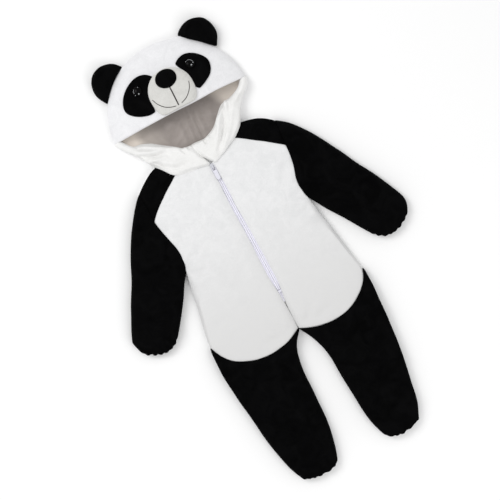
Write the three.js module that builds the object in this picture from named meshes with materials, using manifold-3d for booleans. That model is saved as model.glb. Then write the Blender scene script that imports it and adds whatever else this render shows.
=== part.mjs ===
// Hooded panda romper for a toddler, laid flat on its back and zipped up.
// Millimetres. +X is the wearer's left, +Y points to the hood, +Z is up, and it rests on Z = 0.
// Plan positions are measured from the top of the zip; the whole garment is centred at the end.

import * as THREE from "three";
import { mergeVertices } from "three/addons/utils/BufferGeometryUtils.js";
import Module from "manifold-3d";

// ---- Driving sizes -------------------------------------------------------------------------

const WALL = 8; // plush, wadding and inner fabric of one padded layer
const SEAM_GAP = 0.3; // clear distance between sewn neighbours
const PULL_IN = 0.3; // how far a panel's edge stays back from its seam line
const EDGE = 2.5; // thickness of a padded layer where it is sewn or turned
const FRONT_LIFT = 12; // height of the front panels over the back panel
const LIMB_HEIGHT = 23; // a sleeve or a leg, lying flat
const LIMB_WALL = 9; // padded wall of a sleeve or a leg
const LIMB_EDGE_WALL = 5; // from a folded edge to the air inside
const LIMB_SLOT = 3; // air left between the two walls of a flattened sleeve or leg
const HOOD_BACK_WALL = 5.5;
const LINING_WALL = 2.2;
const HOOD_HALF_WIDTH = 147;
const HOOD_RISE = 146; // from the brim to the top of the hood
const HOOD_CENTRE = { x: -2.5, y: 119 };
const HOOD_DOME = 27; // the face panel's lift over its edge
const BRIM_Y = 121;
const COLLAR_LIFT = 17; // the hood's front edge, folded double
const EAR_HEIGHT = 25;
const EYE_RADIUS = 10;
const EYE_HEIGHT = 6.5;
const MUZZLE = { x: 1, y: 160, halfWidth: 46, halfLength: 46.5, lift: 12, fullAbove: 2, fullBelow: 3 };
const NOSE = { x: 2, y: 185.5, halfWidth: 21.5, halfLength: 19, lift: 5, fullAbove: 2, fullBelow: 2 };
const ZIP_TOP = { x: 3, y: 0 };
const ZIP_END = { x: 6, y: -300 };
const ZIP_SLOT_HALF = 5.5; // from the zip's centre line to a front panel's edge

const BACK_TOP = WALL;
const FRONT_BASE = BACK_TOP + SEAM_GAP;
const LINING_BASE = HOOD_BACK_WALL + SEAM_GAP;
const LINING_TOP = LINING_BASE + LINING_WALL;
const HOOD_BASE = LINING_TOP + SEAM_GAP;

// ---- Finishes ------------------------------------------------------------------------------

const FINISHES = {
  white_plush: { color: 0xe8eaea, roughness: 0.95, metalness: 0 },
  black_plush: { color: 0x0a0a0b, roughness: 0.9, metalness: 0 },
  grey_lining: { color: 0x9c948f, roughness: 0.9, metalness: 0 },
  muzzle_plush: { color: 0xd2d1cc, roughness: 0.95, metalness: 0 },
  eye_plastic: { color: 0x050505, roughness: 0.12, metalness: 0 },
  zip_tape: { color: 0xe6e3ee, roughness: 0.8, metalness: 0 },
  zip_plastic: { color: 0xcfc9e2, roughness: 0.4, metalness: 0 },
  slider_metal: { color: 0x8f9096, roughness: 0.35, metalness: 0.9 },
};

// ---- Seam lines ----------------------------------------------------------------------------

const SPACING = {
  even: (t) => t,
  start: (t) => t ** 1.6,
  end: (t) => 1 - (1 - t) ** 1.6,
  both: (t) => (1 - Math.cos(Math.PI * t)) / 2,
};

// A smooth line through [x, y] points, cut into pieces; neighbours share it point for point.
function seam(points, pieces, spacing = "even") {
  const curve = new THREE.CatmullRomCurve3(
    points.map(([x, y]) => new THREE.Vector3(x, y, 0)),
    false,
    "centripetal",
  );
  return Array.from({ length: pieces + 1 }, (_, i) => curve.getPointAt(SPACING[spacing](i / pieces)));
}

const joined = (...lines) => lines.flatMap((line, i) => (i ? line.slice(1) : line));
const reversed = (line) => [...line].reverse();

// An arc of the hood's outline, between two angles in degrees measured from the wearer's left.
function hoodArc(fromDegrees, toDegrees, pieces, outward = 0) {
  return Array.from({ length: pieces + 1 }, (_, i) => {
    const angle = THREE.MathUtils.degToRad(fromDegrees + ((toDegrees - fromDegrees) * i) / pieces);
    return new THREE.Vector3(
      HOOD_CENTRE.x + (HOOD_HALF_WIDTH + outward) * Math.cos(angle),
      HOOD_CENTRE.y + (HOOD_RISE + outward) * Math.sin(angle),
      0,
    );
  });
}

const zipX = (y) => THREE.MathUtils.mapLinear(y, ZIP_TOP.y, ZIP_END.y, ZIP_TOP.x, ZIP_END.x);
const CROTCH = [5, -377];

// Each side is drawn from the neck outwards and downwards.
const SIDES = {
  right: {
    sign: -1,
    neckFront: [[-2.5, 1], [-43, 3], [-69, 12]],
    neckSide: [[-69, 12], [-85, 25], [-97, 43]],
    shoulder: [[-97, 43], [-112, 39], [-132, 26], [-154, 9]],
    yokeSeam: [[-69, 12], [-100, -10], [-130, -33], [-152, -54]],
    sleeveTop: [[-154, 9], [-154, -20], [-152, -54]],
    armhole: [[-152, -54], [-147, -83], [-136, -122], [-136, -148], [-141, -170]],
    sideSeam: [[-141, -170], [-150, -210], [-155, -243], [-167, -297], [-171, -330]],
    hem: [[-171, -330], [-163, -351], [-130, -385], [-63, -397], [-24, -390], CROTCH],
    sleeveOuter: [[-154, 9], [-176, -12], [-200, -53], [-253, -147], [-294, -225], [-305, -253], [-296, -275]],
    sleeveInner: [[-141, -170], [-153, -183], [-170, -210], [-197, -250], [-220, -279]],
    cuff: [[-296, -275], [-274, -291], [-250, -298], [-234, -292], [-220, -279]],
    legOuter: [[-171, -330], [-174, -363], [-173, -403], [-159, -530], [-149, -590], [-137, -633], [-127, -649]],
    legInner: [CROTCH, [-8, -391], [-20, -413], [-27, -450], [-30, -550], [-37, -607], [-50, -647]],
    legEnd: [[-127, -649], [-100, -658], [-66, -658], [-50, -647]],
    hoodSide: [[-149.5, 119], [-139, 102], [-118, 81], [-112, 66], [-97, 43]],
    mouth: [[-138, 119.5], [-124, 99], [-102, 95], [-84, 86], [-70, 76], [-47, 60], [-36, 49], [-14, 47]],
    ear: [[-136, 222], [-135, 244], [-121, 264], [-100, 272], [-81, 268]],
    earAngles: [146, 115],
    eyePatch: [[-20, 202], [-42, 217], [-74, 208], [-94, 187], [-100, 165], [-82, 146], [-48, 138], [-44, 172]],
    eye: [-60, 190.5],
  },
  left: {
    sign: 1,
    neckFront: [[8.5, -2], [40, 7], [68, 22]],
    neckSide: [[68, 22], [80, 31], [93, 43]],
    shoulder: [[93, 43], [123, 37], [140, 29], [156, 16]],
    yokeSeam: [[68, 22], [110, -7], [137, -27], [154, -42]],
    sleeveTop: [[156, 16], [156, -14], [154, -42]],
    armhole: [[154, -42], [152, -77], [137, -110], [138, -132], [143, -153]],
    sideSeam: [[143, -153], [153, -203], [160, -243], [170, -297], [175, -330]],
    hem: [[175, -330], [167, -350], [138, -379], [83, -396], [32, -389], CROTCH],
    sleeveOuter: [[156, 16], [180, 0], [205, -31], [250, -113], [300, -207], [314, -253], [304, -274]],
    sleeveInner: [[143, -153], [160, -180], [180, -210], [203, -247], [226, -279]],
    cuff: [[304, -274], [284, -290], [260, -296], [241, -291], [226, -279]],
    legOuter: [[175, -330], [177, -363], [175, -410], [163, -530], [153, -590], [144, -628], [133, -650]],
    legInner: [CROTCH, [14, -392], [23, -407], [32, -443], [40, -550], [44, -603], [57, -646]],
    legEnd: [[133, -650], [99, -659], [74, -658], [57, -646]],
    hoodSide: [[144.5, 119], [140, 110], [121, 91], [103, 67], [93, 43]],
    mouth: [[132, 119.5], [121, 107], [100, 95], [80, 94], [62, 76], [41, 57], [14, 46], [-14, 47]],
    ear: [[134, 222], [133, 244], [119, 266], [97, 274], [77, 270]],
    earAngles: [34, 64],
    eyePatch: [[33, 204], [58, 214], [82, 201], [94, 182], [87, 158], [69, 146], [50, 140], [46, 178]],
    eye: [59, 191],
  },
};

// ---- Cloth surfaces ------------------------------------------------------------------------

// The plan of a panel, woven between its four sides. Rows run from the first side to the last.
function weave({ first, last, start, end }) {
  const rows = start.length - 1;
  const columns = first.length - 1;
  return start.map((startPoint, i) =>
    first.map((firstPoint, j) => {
      const v = i / rows;
      const u = j / columns;
      const point = new THREE.Vector3();
      point.addScaledVector(startPoint, 1 - u).addScaledVector(end[i], u);
      point.addScaledVector(firstPoint, 1 - v).addScaledVector(last[j], v);
      point.addScaledVector(first[0], -(1 - u) * (1 - v)).addScaledVector(first[columns], -u * (1 - v));
      point.addScaledVector(last[0], -(1 - u) * v).addScaledVector(last[columns], -u * v);
      return point;
    }),
  );
}

// Moves the edge of a plan square to itself, inwards, which leaves the seam gap.
function pulledIn(grid, distance = PULL_IN) {
  const rows = grid.length - 1;
  const columns = grid[0].length - 1;
  const inward = (before, after, point, inner) => {
    const along = after.clone().sub(before);
    const square = new THREE.Vector3(-along.y, along.x, 0).setLength(distance);
    return square.dot(inner.clone().sub(point)) < 0 ? square.negate() : square;
  };
  return grid.map((line, i) =>
    line.map((point, j) => {
      const moved = point.clone();
      const [left, right] = [line[Math.max(j - 1, 0)], line[Math.min(j + 1, columns)]];
      const [above, below] = [grid[Math.max(i - 1, 0)][j], grid[Math.min(i + 1, rows)][j]];
      if (i === 0) moved.add(inward(left, right, point, below));
      if (i === rows) moved.add(inward(left, right, point, above));
      if (j === 0) moved.add(inward(above, below, point, right));
      if (j === columns) moved.add(inward(above, below, point, left));
      return moved;
    }),
  );
}

// How much of its full height a padded layer keeps at a distance from an edge.
// A dip of 1 turns the layer right down at the edge; a small dip is a seam's shallow groove.
function kept(distance, { round, dip }) {
  const inside = Math.min(distance / round, 1);
  return 1 - dip * (1 - Math.sqrt(1 - (1 - inside) ** 2));
}

// The height share of every point of a plan, from the edge rules of its four sides.
function fullness(grid, edges) {
  const rows = grid.length - 1;
  const columns = grid[0].length - 1;
  const rule = (edge, index) => (typeof edge === "function" ? edge(index) : edge);
  return grid.map((line, i) =>
    line.map(
      (point, j) =>
        kept(point.distanceTo(grid[0][j]), rule(edges.first, j)) *
        kept(point.distanceTo(grid[rows][j]), rule(edges.last, j)) *
        kept(point.distanceTo(line[0]), rule(edges.start, i)) *
        kept(point.distanceTo(line[columns]), rule(edges.end, i)),
    ),
  );
}

const TURNED = { round: 14, dip: 1 };
const SEWN = { round: 7, dip: 0.3 };
const SOFT_END = { round: 12, dip: 0.75 };

// A closed body from triangles over shared points, with its faces turned outwards.
function closedBody(points, triangles) {
  const volume = triangles.reduce((sum, [a, b, c]) => {
    const cross = new THREE.Vector3().crossVectors(points[b], points[c]);
    return sum + points[a].dot(cross);
  }, 0);
  const outward = volume > 0 ? triangles : triangles.map(([a, b, c]) => [a, c, b]);
  const geometry = new THREE.BufferGeometry();
  geometry.setAttribute(
    "position",
    new THREE.Float32BufferAttribute(points.flatMap((point) => point.toArray()), 3),
  );
  geometry.setIndex(outward.flat());
  geometry.computeVertexNormals();
  return geometry;
}

// A sheet of cloth: one plan with an upper and a lower height for each point.
function sheet(grid, highAt, lowAt) {
  const rows = grid.length - 1;
  const columns = grid[0].length - 1;
  const width = columns + 1;
  const layer = width * (rows + 1);
  const points = [];
  [highAt, lowAt].forEach((heightAt) => {
    grid.forEach((line, i) => {
      line.forEach((point, j) => points.push(new THREE.Vector3(point.x, point.y, heightAt(point, i, j))));
    });
  });
  const triangles = [];
  const quad = (a, b, c, d) => triangles.push([a, b, c], [a, c, d]);
  for (let i = 0; i < rows; i += 1) {
    for (let j = 0; j < columns; j += 1) {
      const a = i * width + j;
      quad(a, a + width, a + width + 1, a + 1);
      quad(layer + a, layer + a + 1, layer + a + width + 1, layer + a + width);
    }
  }
  for (let j = 0; j < columns; j += 1) {
    const bottom = rows * width + j;
    quad(j, j + 1, layer + j + 1, layer + j);
    quad(bottom + 1, bottom, layer + bottom, layer + bottom + 1);
  }
  for (let i = 0; i < rows; i += 1) {
    const left = i * width;
    const right = left + columns;
    quad(left + width, left, layer + left, layer + left + width);
    quad(right, right + width, layer + right + width, layer + right);
  }
  return closedBody(points, triangles);
}

// The point at a distance from one point towards another.
function pointAlong(from, to, distance) {
  return from.clone().lerp(to, Math.min(0.8, distance / from.distanceTo(to)));
}

// A flattened sleeve or leg: an open tube whose two walls nearly lie on each other.
function limb(plan, endRule) {
  const grid = pulledIn(plan);
  const rows = grid.length - 1;
  const share = fullness(grid, { first: SEWN, last: endRule, start: TURNED, end: TURNED });
  const under = fullness(grid, {
    first: { round: 1, dip: 0 },
    last: { round: 8, dip: 0.5 },
    start: { round: 9, dip: 1 },
    end: { round: 9, dip: 1 },
  });
  const middle = LIMB_WALL + LIMB_SLOT / 2;
  const roof = LIMB_HEIGHT - middle - EDGE / 2;
  const floor = middle - EDGE / 2;
  const outer = grid.map((line, i) => {
    const top = line.map((point, j) => new THREE.Vector3(point.x, point.y, middle + EDGE / 2 + roof * share[i][j]));
    const bottom = line.map((point, j) => new THREE.Vector3(point.x, point.y, floor * (1 - under[i][j])));
    return [...top, ...reversed(bottom)];
  });
  const inner = grid.map((line, i) => {
    const columns = line.length - 1;
    const slotLine = line.map((point, j) => {
      if (j === 0) return pointAlong(point, line[1], LIMB_EDGE_WALL);
      if (j === columns) return pointAlong(point, line[columns - 1], LIMB_EDGE_WALL);
      return point;
    });
    const atHeight = (side) => (point, j) => {
      const opening = 0.3 + (LIMB_SLOT / 2 - 0.3) * Math.sin((Math.PI * j) / columns) ** 0.5;
      return new THREE.Vector3(point.x, point.y, middle + side * opening);
    };
    return [...slotLine.map(atHeight(1)), ...reversed(slotLine.map(atHeight(-1)))];
  });
  return openTube(outer, inner);
}

// A wall between matching outer and inner loops, open at both ends.
function openTube(outer, inner) {
  const count = outer[0].length;
  const points = [...outer.flat(), ...inner.flat()];
  const layer = outer.length * count;
  const triangles = [];
  const quad = (a, b, c, d) => triangles.push([a, b, c], [a, c, d]);
  for (let i = 0; i < outer.length - 1; i += 1) {
    for (let j = 0; j < count; j += 1) {
      const a = i * count + j;
      const b = i * count + ((j + 1) % count);
      quad(a, a + count, b + count, b);
      quad(layer + a, layer + b, layer + b + count, layer + a + count);
    }
  }
  const last = (outer.length - 1) * count;
  for (let j = 0; j < count; j += 1) {
    const next = (j + 1) % count;
    quad(j, next, layer + next, layer + j);
    quad(last + next, last + j, layer + last + j, layer + last + next);
  }
  return closedBody(points, triangles);
}

// ---- The garment's pieces ------------------------------------------------------------------

const garment = new THREE.Group();

function place(name, geometry, finish, parent = garment) {
  const mesh = new THREE.Mesh(geometry, new THREE.MeshStandardMaterial(FINISHES[finish]));
  mesh.name = name;
  parent.add(mesh);
  return mesh;
}

// Panels that meet along a line cut it into the same number of pieces.
const HEM_PIECES = 8;
const NECK_SIDE_PIECES = 3;
const HOOD_SIDE_PIECES = 6;
const YOKE_PIECES = 4;
const ARMHOLE_PIECES = 5;
const SIDE_PIECES = 6;
const LIMB_PIECES = 11;

const SEAMS = Object.fromEntries(
  Object.entries(SIDES).map(([side, lines]) => [
    side,
    {
      neckFront: seam(lines.neckFront, HEM_PIECES, "start"),
      neckSide: seam(lines.neckSide, NECK_SIDE_PIECES),
      shoulder: seam(lines.shoulder, YOKE_PIECES),
      yokeSeam: seam(lines.yokeSeam, YOKE_PIECES),
      sleeveTop: seam(lines.sleeveTop, NECK_SIDE_PIECES, "start"),
      armhole: seam(lines.armhole, ARMHOLE_PIECES, "end"),
      sideSeam: seam(lines.sideSeam, SIDE_PIECES),
      hem: seam(lines.hem, HEM_PIECES, "both"),
      mouth: seam(lines.mouth, HOOD_SIDE_PIECES + NECK_SIDE_PIECES + HEM_PIECES),
      hoodSide: seam(lines.hoodSide, HOOD_SIDE_PIECES),
    },
  ]),
);

// The back: one piece from the nape to the crotch, lying flat on the surface.
function backPanel() {
  const { left, right } = SEAMS;
  const nape = seam([SIDES.right.shoulder[0], SIDES.left.shoulder[0]], 8);
  const plan = weave({
    first: joined(reversed(right.shoulder), nape, left.shoulder),
    last: joined(right.hem, reversed(left.hem)),
    start: joined(right.sleeveTop, right.armhole, right.sideSeam),
    end: joined(left.sleeveTop, left.armhole, left.sideSeam),
  });
  const grid = pulledIn(plan);
  const armpit = NECK_SIDE_PIECES + ARMHOLE_PIECES;
  const sideOnly = (i) => (i > armpit ? { round: 9, dip: 0.5 } : { round: 9, dip: 0 });
  const flat = { round: 1, dip: 0 };
  const share = fullness(grid, { first: flat, last: flat, start: sideOnly, end: sideOnly });
  return sheet(grid, () => BACK_TOP, (_, i, j) => (BACK_TOP - EDGE) * (1 - share[i][j]));
}

// A front: from the neck seam down to the hem, turned down at the side and sewn to the zip.
function frontPanel(side) {
  const { sign } = SIDES[side];
  const lines = SEAMS[side];
  const zipEdge = seam(
    [
      SIDES[side].neckFront[0],
      [zipX(-150) + sign * ZIP_SLOT_HALF, -150],
      [zipX(-296) + sign * ZIP_SLOT_HALF, -296],
      [zipX(-303) + sign * 2.5, -304],
      [CROTCH[0] + sign * 0.4, -318],
      CROTCH,
    ],
    YOKE_PIECES + ARMHOLE_PIECES + SIDE_PIECES,
  );
  const plan = weave({
    first: lines.neckFront,
    last: reversed(lines.hem),
    start: zipEdge,
    end: joined(lines.yokeSeam, lines.armhole, lines.sideSeam),
  });
  const grid = pulledIn(plan);
  const columns = grid[0].length - 1;
  const outerEdge = (i) => (i > YOKE_PIECES + ARMHOLE_PIECES ? TURNED : SEWN);
  const share = fullness(grid, { first: SEWN, last: SEWN, start: { round: 9, dip: 0.45 }, end: outerEdge });
  const high = (_, i, j) => FRONT_BASE + EDGE + (FRONT_LIFT - EDGE) * share[i][j];
  const air = (i, j) => 2.5 * Math.sin((Math.PI * j) / columns) * Math.sin((Math.PI * i) / (grid.length - 1));
  return sheet(grid, high, (_, i, j) => FRONT_BASE + air(i, j));
}

// A yoke: the black piece over one shoulder, between the neck and the sleeve.
function yoke(side) {
  const lines = SEAMS[side];
  const grid = pulledIn(
    weave({
      first: lines.shoulder,
      last: lines.yokeSeam,
      start: reversed(lines.neckSide),
      end: lines.sleeveTop,
    }),
  );
  const share = fullness(grid, { first: TURNED, last: SEWN, start: SEWN, end: SEWN });
  return sheet(grid, (_, i, j) => FRONT_BASE + EDGE + (FRONT_LIFT - EDGE) * share[i][j], () => FRONT_BASE);
}

function sleeve(side) {
  const lines = SEAMS[side];
  const plan = weave({
    first: joined(lines.sleeveTop, lines.armhole),
    last: seam(SIDES[side].cuff, NECK_SIDE_PIECES + ARMHOLE_PIECES, "both"),
    start: seam(SIDES[side].sleeveOuter, LIMB_PIECES),
    end: seam(SIDES[side].sleeveInner, LIMB_PIECES),
  });
  return limb(plan, SOFT_END);
}

function leg(side) {
  const plan = weave({
    first: SEAMS[side].hem,
    last: seam(SIDES[side].legEnd, HEM_PIECES, "both"),
    start: seam(SIDES[side].legOuter, LIMB_PIECES),
    end: seam(SIDES[side].legInner, LIMB_PIECES),
  });
  return limb(plan, SOFT_END);
}

// The hood's outline, from the nape up one side, over the crown and down the other.
const CROWN_ANGLE = 34;

function hoodPlan() {
  const { left, right } = SEAMS;
  return weave({
    first: hoodArc(180 - CROWN_ANGLE, CROWN_ANGLE, 10),
    last: seam([SIDES.right.shoulder[0], SIDES.left.shoulder[0]], 10),
    start: joined(hoodArc(180 - CROWN_ANGLE, 180, 4), right.hoodSide),
    end: joined(hoodArc(CROWN_ANGLE, 0, 4), left.hoodSide),
  });
}

function hoodBack() {
  const grid = pulledIn(hoodPlan());
  const rim = { round: 9, dip: 0.6 };
  const flat = { round: 1, dip: 0 };
  const share = fullness(grid, { first: rim, last: flat, start: rim, end: rim });
  return sheet(grid, () => HOOD_BACK_WALL, (_, i, j) => (HOOD_BACK_WALL - EDGE) * (1 - share[i][j]));
}

// The lining shows in the hood's mouth, where three soft pleats run down to the neck.
const PLEATS = [
  { x: -34, width: 12, height: 1.6 },
  { x: 14, width: 9, height: 3.2 },
  { x: 52, width: 14, height: 1.8 },
];
const PLEAT_MIDDLE = { y: 93, reach: 26 };

function pleatAt(x, y) {
  const along = Math.max(0, 1 - ((y - PLEAT_MIDDLE.y) / PLEAT_MIDDLE.reach) ** 2);
  return PLEATS.reduce((sum, pleat) => {
    const across = Math.max(0, 1 - Math.abs(x - pleat.x) / pleat.width);
    return sum + pleat.height * across * along;
  }, 0);
}

function hoodLining() {
  const grid = pulledIn(
    weave({
      first: hoodArc(180 - CROWN_ANGLE, CROWN_ANGLE, 20, -7),
      last: seam([[-88, 49], [86, 49]], 20),
      start: joined(hoodArc(180 - CROWN_ANGLE, 180, 3, -7), seam([[-142.5, 119], [-111, 84], [-88, 49]], 5)),
      end: joined(hoodArc(CROWN_ANGLE, 0, 3, -7), seam([[137.5, 119], [113, 91], [86, 49]], 5)),
    }),
  );
  return sheet(grid, (point) => LINING_TOP + pleatAt(point.x, point.y), () => LINING_BASE);
}

// The face panel is a shallow dome over the hood's half ellipse.
function hoodTop(x, y) {
  const across = (x - HOOD_CENTRE.x) / HOOD_HALF_WIDTH;
  const along = (y - HOOD_CENTRE.y) / HOOD_RISE;
  const reach = Math.min(1, Math.hypot(across, along));
  return HOOD_BASE + EDGE + HOOD_DOME * (1 - reach ** 3) ** 0.6;
}

const FACE_CORNER = 52; // degrees up from the brim to where the face panel's top row starts

function hoodFace() {
  const corner = THREE.MathUtils.radToDeg(Math.asin((BRIM_Y - HOOD_CENTRE.y) / HOOD_RISE));
  const sidePieces = 6;
  const side = (from, to) =>
    Array.from({ length: sidePieces + 1 }, (_, i) => hoodArc(from + ((to - from) * i) / sidePieces, 0, 1)[0]);
  const start = side(180 - FACE_CORNER, 180 - corner);
  const end = side(FACE_CORNER, corner);
  const brimEnds = [start[sidePieces], end[sidePieces]].map(({ x, y }) => [x, y]);
  const grid = pulledIn(
    weave({ first: hoodArc(180 - FACE_CORNER, FACE_CORNER, 14), last: seam(brimEnds, 14, "both"), start, end }),
  );
  const low = (point) => Math.max(HOOD_BASE, hoodTop(point.x, point.y) - WALL);
  return sheet(grid, (point) => hoodTop(point.x, point.y), low);
}

// A collar flap: the hood's front edge, folded double from the brim's end down to the zip.
const CROSSING = [[-14, 47], [-11, 30], [-2.5, 1]];

function collar(side) {
  const lines = SEAMS[side];
  const outer = joined(lines.hoodSide, reversed(lines.neckSide), reversed(lines.neckFront));
  const end = side === "left" ? [[-14, 47], [-10, 28], [-1, 1], [8.5, -2]] : CROSSING;
  const grid = pulledIn(
    weave({
      first: seam([SIDES[side].mouth[0], SIDES[side].hoodSide[0]], 6, "both"),
      last: seam(end, 6, "both"),
      start: lines.mouth,
      end: outer,
    }),
    0.5,
  );
  const share = fullness(grid, {
    first: { round: 6, dip: 0.3 },
    last: { round: 8, dip: 0.4 },
    start: { round: 11, dip: 0.9 },
    end: (i) => (i > 6 ? { round: 9, dip: 0.5 } : { round: 11, dip: 0.95 }),
  });
  return sheet(grid, (_, i, j) => HOOD_BASE + EDGE + (COLLAR_LIFT - EDGE) * share[i][j], () => HOOD_BASE);
}

// An ear: a stuffed black pad sewn into the hood's edge seam.
const EAR_PIECES = 6; // along its root, and along each third of its rim
const EAR_CLEARANCE = 1.2; // from the hood's edge to an ear's root

function ear(side) {
  const { ear: outline, earAngles } = SIDES[side];
  const foot = hoodArc(...earAngles, EAR_PIECES, EAR_CLEARANCE);
  const rimPoints = [[foot[0].x, foot[0].y], ...outline, [foot[EAR_PIECES].x, foot[EAR_PIECES].y]];
  const arc = seam(rimPoints, 3 * EAR_PIECES);
  const grid = weave({
    first: arc.slice(EAR_PIECES, 2 * EAR_PIECES + 1),
    last: foot,
    start: reversed(arc.slice(0, EAR_PIECES + 1)),
    end: arc.slice(2 * EAR_PIECES),
  });
  const rim = { round: 15, dip: 1 };
  const root = { round: 12, dip: 0.5 };
  const share = fullness(grid, { first: rim, last: root, start: rim, end: rim });
  const low = { round: 9, dip: 1 };
  const under = fullness(grid, { first: low, last: low, start: low, end: low });
  const middle = 9;
  const high = (_, i, j) => middle + EDGE / 2 + (EAR_HEIGHT - middle - EDGE / 2) * share[i][j];
  return sheet(grid, high, (_, i, j) => (middle - EDGE / 2) * (1 - under[i][j]));
}

// A patch laid on another piece: rings about its middle, from a closed outline.
function patch({ x, y }, outline, rings, highAt, lowAt) {
  const points = [];
  const triangles = [];
  const count = outline.length;
  [highAt, lowAt].forEach((heightAt) => {
    points.push(new THREE.Vector3(x, y, heightAt(x, y, 0)));
    rings.forEach((reach) => {
      outline.forEach((rim) => {
        const px = x + (rim.x - x) * reach;
        const py = y + (rim.y - y) * reach;
        points.push(new THREE.Vector3(px, py, heightAt(px, py, reach)));
      });
    });
  });
  const layer = 1 + rings.length * count;
  for (let j = 0; j < count; j += 1) {
    const next = (j + 1) % count;
    triangles.push([0, 1 + j, 1 + next], [layer, layer + 1 + next, layer + 1 + j]);
    for (let ring = 1; ring < rings.length; ring += 1) {
      const a = 1 + (ring - 1) * count;
      const b = a + count;
      triangles.push([a + j, b + j, b + next], [a + j, b + next, a + next]);
      triangles.push([layer + a + j, layer + b + next, layer + b + j]);
      triangles.push([layer + a + j, layer + a + next, layer + b + next]);
    }
    const rim = 1 + (rings.length - 1) * count;
    triangles.push([rim + j, layer + rim + j, layer + rim + next], [rim + j, layer + rim + next, rim + next]);
  }
  return closedBody(points, triangles);
}

const ON_TOP = 0.5; // clearance of a piece that lies on a curved one
const PATCH_WALL = 2;
const patchTop = (x, y) => hoodTop(x, y) + ON_TOP + PATCH_WALL;

// The muzzle is a stuffed oval, sewn into the brim at its lower edge.
const MUZZLE_BRIM = BRIM_Y + 1.5;
const padded = (reach) => Math.sqrt(Math.max(0, 1 - reach ** 3.2));

// An oval's reach is 0 at its middle and 1 on its rim. A higher power makes a half squarer.
function ovalReach({ x, y, halfWidth, halfLength, fullAbove, fullBelow }, px, py) {
  const power = py < y ? fullBelow : fullAbove;
  return (Math.abs((px - x) / halfWidth) ** power + Math.abs((py - y) / halfLength) ** power) ** (1 / power);
}

const muzzleReach = (x, y) => Math.min(1, ovalReach(MUZZLE, x, y));

function muzzleTop(x, y) {
  return hoodTop(x, y) + ON_TOP + EDGE + (MUZZLE.lift - EDGE) * padded(muzzleReach(x, y));
}

// A point near the muzzle, moved out to where the muzzle's edge leaves it free.
function clearOfMuzzle(point) {
  const stretch = Math.max(1, 1.03 / ovalReach(MUZZLE, point.x, point.y));
  return new THREE.Vector3(
    MUZZLE.x + (point.x - MUZZLE.x) * stretch,
    MUZZLE.y + (point.y - MUZZLE.y) * stretch,
    0,
  );
}

function eyePatch(side) {
  const { eyePatch: points, eye } = SIDES[side];
  const curve = new THREE.CatmullRomCurve3(
    points.map(([x, y]) => new THREE.Vector3(x, y, 0)),
    true,
    "centripetal",
  );
  const outline = curve.getSpacedPoints(24).slice(0, 24).map(clearOfMuzzle);
  const middle = { x: eye[0], y: eye[1] - 12 };
  return patch(middle, outline, [0.35, 0.7, 1], patchTop, (x, y) => hoodTop(x, y) + ON_TOP);
}

function oval(shape, count, lowest = -Infinity) {
  const { x, y, halfWidth, halfLength } = shape;
  return Array.from({ length: count }, (_, i) => {
    const angle = (2 * Math.PI * i) / count;
    const across = halfWidth * Math.cos(angle);
    const along = halfLength * Math.sin(angle);
    const reach = ovalReach(shape, x + across, y + along);
    return new THREE.Vector3(x + across / reach, Math.max(lowest, y + along / reach), 0);
  });
}

function muzzle() {
  const outline = oval(MUZZLE, 28, MUZZLE_BRIM);
  return patch(MUZZLE, outline, [0.3, 0.6, 0.85, 1], muzzleTop, (x, y) => hoodTop(x, y) + ON_TOP);
}

function nose() {
  const lift = (x, y, reach) => muzzleTop(x, y) + ON_TOP + 1.5 + (NOSE.lift - 1.5) * padded(reach);
  return patch(NOSE, oval(NOSE, 24), [0.35, 0.7, 1], lift, (x, y) => muzzleTop(x, y) + ON_TOP);
}

// An eye: a domed plastic button, tipped to lie on the face.
function eye(side) {
  const [x, y] = SIDES[side].eye;
  const profile = [new THREE.Vector2(0, 0), new THREE.Vector2(EYE_RADIUS, 0)];
  for (let i = 1; i <= 5; i += 1) {
    const angle = (Math.PI / 2) * (i / 5);
    const radius = i === 5 ? 0 : EYE_RADIUS * Math.cos(angle);
    profile.push(new THREE.Vector2(radius, 1 + (EYE_HEIGHT - 1) * Math.sin(angle)));
  }
  profile.splice(2, 0, new THREE.Vector2(EYE_RADIUS, 1));
  const mesh = place(`eye_${side}`, new THREE.LatheGeometry(profile, 20).rotateX(Math.PI / 2), "eye_plastic");
  const step = 4;
  const slope = new THREE.Vector3(
    patchTop(x - step, y) - patchTop(x + step, y),
    patchTop(x, y - step) - patchTop(x, y + step),
    2 * step,
  ).normalize();
  mesh.quaternion.setFromUnitVectors(new THREE.Vector3(0, 0, 1), slope);
  mesh.position.set(x, y, patchTop(x, y)).addScaledVector(slope, ON_TOP + 0.4);
}

// ---- The zip -------------------------------------------------------------------------------

const TAPE = { base: 11, wall: 1.2 };
const COIL = { halfWidth: 2.6, height: 2.4 };
const COIL_TOP = TAPE.base + TAPE.wall + SEAM_GAP + COIL.height;
const SLIDER = { length: 13, halfWidth: 4.2, plate: 1.8 };
const BRIDGE = { length: 9, height: 4.6, wall: 1.2, halfWidth: 1.3 };
const PULL = { length: 27, halfWidth: 4.2, plate: 1.8, bar: 0.8, eyeLength: 6, rim: 1.4 };
const ZIP_LENGTH = 296;

// The zip is drawn straight down from its top, then leaned to the line of the front opening.
const zip = new THREE.Group();
zip.position.set(ZIP_TOP.x, ZIP_TOP.y, 0);
zip.rotation.z = Math.atan2(ZIP_END.x - ZIP_TOP.x, ZIP_TOP.y - ZIP_END.y);

function box(width, length, height, x, y, z) {
  return new THREE.BoxGeometry(width, length, height).translate(x, y, z);
}

function tape(sign) {
  const inner = SEAM_GAP / 2;
  const outer = ZIP_SLOT_HALF - 0.8;
  const middle = (sign * (inner + outer)) / 2;
  const length = ZIP_LENGTH - 6;
  return box(outer - inner, length, TAPE.wall, middle, -3 - length / 2, TAPE.base + TAPE.wall / 2);
}

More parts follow.
